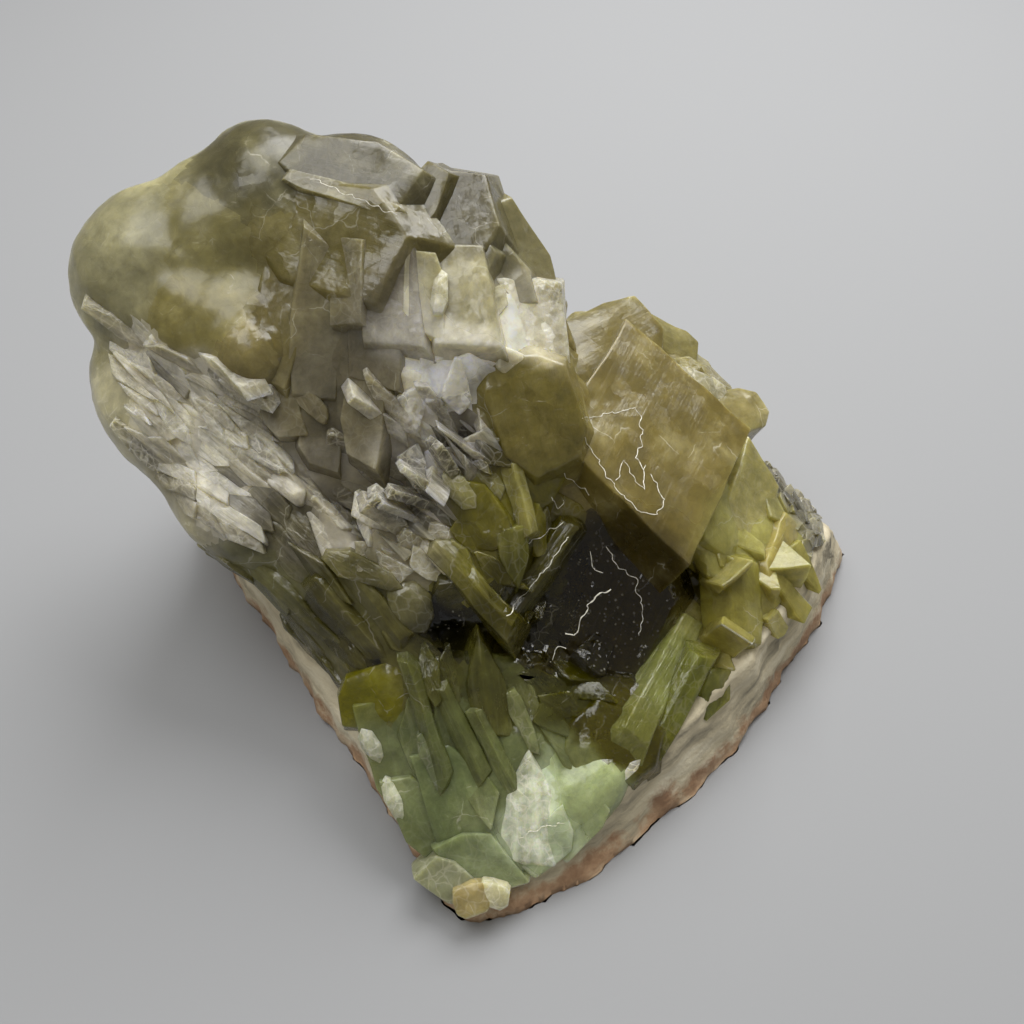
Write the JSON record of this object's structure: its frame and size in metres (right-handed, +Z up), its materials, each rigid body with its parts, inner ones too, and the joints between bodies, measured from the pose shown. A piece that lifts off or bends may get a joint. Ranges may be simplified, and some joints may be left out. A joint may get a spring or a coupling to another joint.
{
  "type": "crystal block",
  "caption": "Block of green calcite crystals, milky above and glassy olive to mint below, grown on a flat-bottomed slab of grey and rusty host rock.",
  "frame": {"origin": "middle of the slab's footprint, on the surface that the block rests on", "axes": "+Z up, +X along the slab's flat front-right wall, +Y away from that wall, into the block"},
  "size_m": [0.144, 0.1616, 0.1093],
  "materials": {
    "calcite": "translucent green calcite, glassy cleavage faces with milky and frosted zones",
    "host_rock": "rough grey rock with rusty brown lower edge"
  },
  "bodies": {
    "root": {"crystal_mass": "calcite", "rock_slab": "host_rock"}
  },
  "joints": []
}
